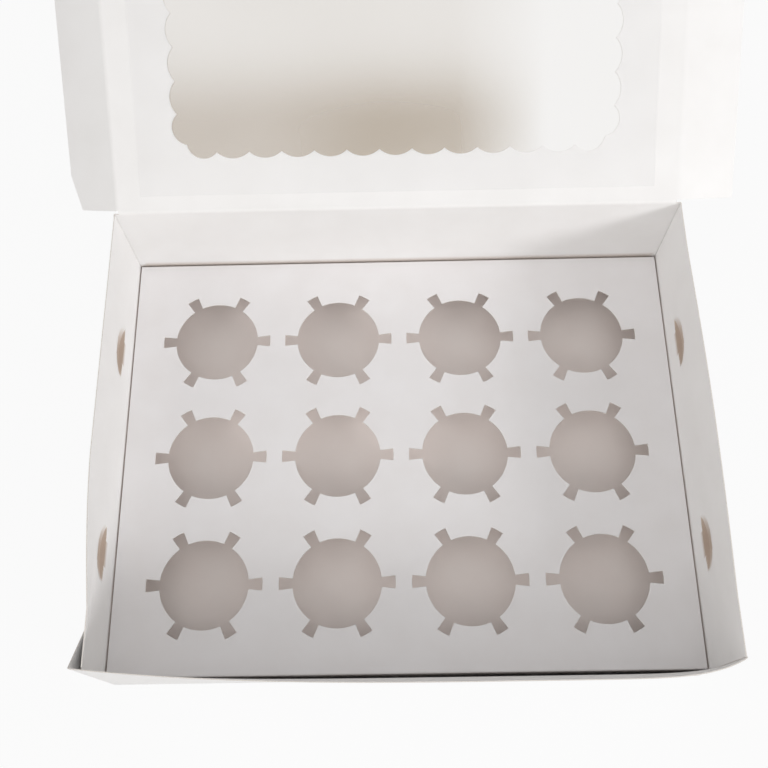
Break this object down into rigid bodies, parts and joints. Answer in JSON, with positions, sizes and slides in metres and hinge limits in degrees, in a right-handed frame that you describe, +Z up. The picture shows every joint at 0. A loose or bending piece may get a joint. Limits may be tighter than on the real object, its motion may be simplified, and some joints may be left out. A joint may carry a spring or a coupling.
{
  "type": "window cake box",
  "caption": "Open folding cake box of thin white board with a scalloped film window in its hinged lid and a punched insert for small cakes.",
  "frame": {"origin": "middle of the tray's underside, on the surface it rests on", "axes": "+Z up, +Y towards the lid hinge, +X to the right seen from the open front"},
  "size_m": [0.3961, 0.5082, 0.252],
  "materials": {
    "white_board": "smooth matt white coated board",
    "insert_board": "matt white board",
    "clear_film": "clear glossy film"
  },
  "bodies": {
    "base": {"base_tray": "white_board", "cupcake_insert": "insert_board"},
    "lid": {"lid_panel": "white_board", "window_film": "clear_film"},
    "side_flap_left": {"lid_side_flap_left": "white_board"},
    "side_flap_right": {"lid_side_flap_right": "white_board"},
    "front_flap": {"lid_front_flap": "white_board"}
  },
  "joints": [
    {"name": "lid_hinge", "type": "hinge", "parent": "base", "child": "lid", "pos_m": [0, 0.12975, 0.08655], "axis": [-1, 0, 0], "range_deg": [-144, 36]},
    {"name": "left_flap_fold", "type": "hinge", "parent": "lid", "child": "side_flap_left", "pos_m": [-0.16475, 0.12975, 0.08655], "axis": [0, 0.809, 0.5878], "range_deg": [-31, 119]},
    {"name": "right_flap_fold", "type": "hinge", "parent": "lid", "child": "side_flap_right", "pos_m": [0.16475, 0.12975, 0.08655], "axis": [0, -0.809, -0.5878], "range_deg": [-46, 104]},
    {"name": "front_flap_fold", "type": "hinge", "parent": "lid", "child": "front_flap", "pos_m": [0, 0.33807, 0.23791], "axis": [1, 0, 0], "range_deg": [-48, 102]}
  ]
}
